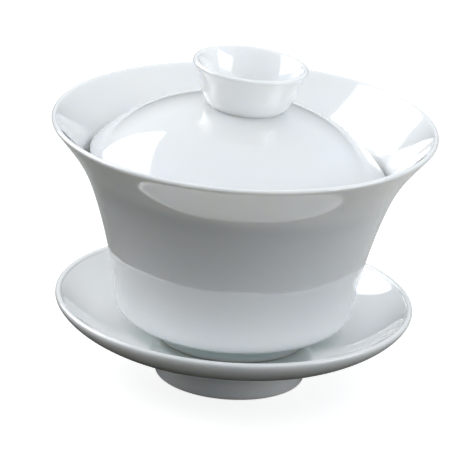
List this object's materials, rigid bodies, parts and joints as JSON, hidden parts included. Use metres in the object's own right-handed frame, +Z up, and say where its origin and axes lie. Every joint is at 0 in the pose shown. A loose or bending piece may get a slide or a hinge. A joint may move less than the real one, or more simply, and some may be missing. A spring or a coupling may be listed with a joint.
{
  "type": "gaiwan",
  "caption": "White porcelain lidded tea bowl: a flared bowl standing in a dished saucer, with a domed lid and a hollow cup-shaped knob set down in its mouth.",
  "frame": {"origin": "middle of the saucer's foot, on the table that it stands on", "axes": "+Z up along the axis of the bowl and saucer; -Y is the front, the side that the lid is tipped up at; the lid is tipped down at +X"},
  "size_m": [0.1032, 0.1032, 0.0891],
  "materials": {
    "saucer_glaze": "clear gloss glaze on white porcelain",
    "saucer_foot": "clear gloss glaze, bare bisque on the standing edge",
    "bowl_glaze": "clear gloss glaze on white porcelain",
    "bowl_foot": "clear gloss glaze, bare bisque on the standing edge",
    "lid_glaze": "clear gloss glaze on white porcelain",
    "knob_glaze": "clear gloss glaze on white porcelain"
  },
  "bodies": {
    "saucer": {"saucer": "saucer_glaze", "saucer_foot_ring": "saucer_foot"},
    "bowl": {"bowl": "bowl_glaze", "bowl_foot_ring": "bowl_foot"},
    "lid": {"lid": "lid_glaze", "lid_knob": "knob_glaze"}
  },
  "joints": [
    {"name": "bowl_lift", "type": "slide", "parent": "saucer", "child": "bowl", "axis": [0, 0, 1], "range_m": [0, 0.08]},
    {"name": "lid_lift", "type": "slide", "parent": "bowl", "child": "lid", "axis": [0, 0, 1], "range_m": [0, 0.07]}
  ]
}
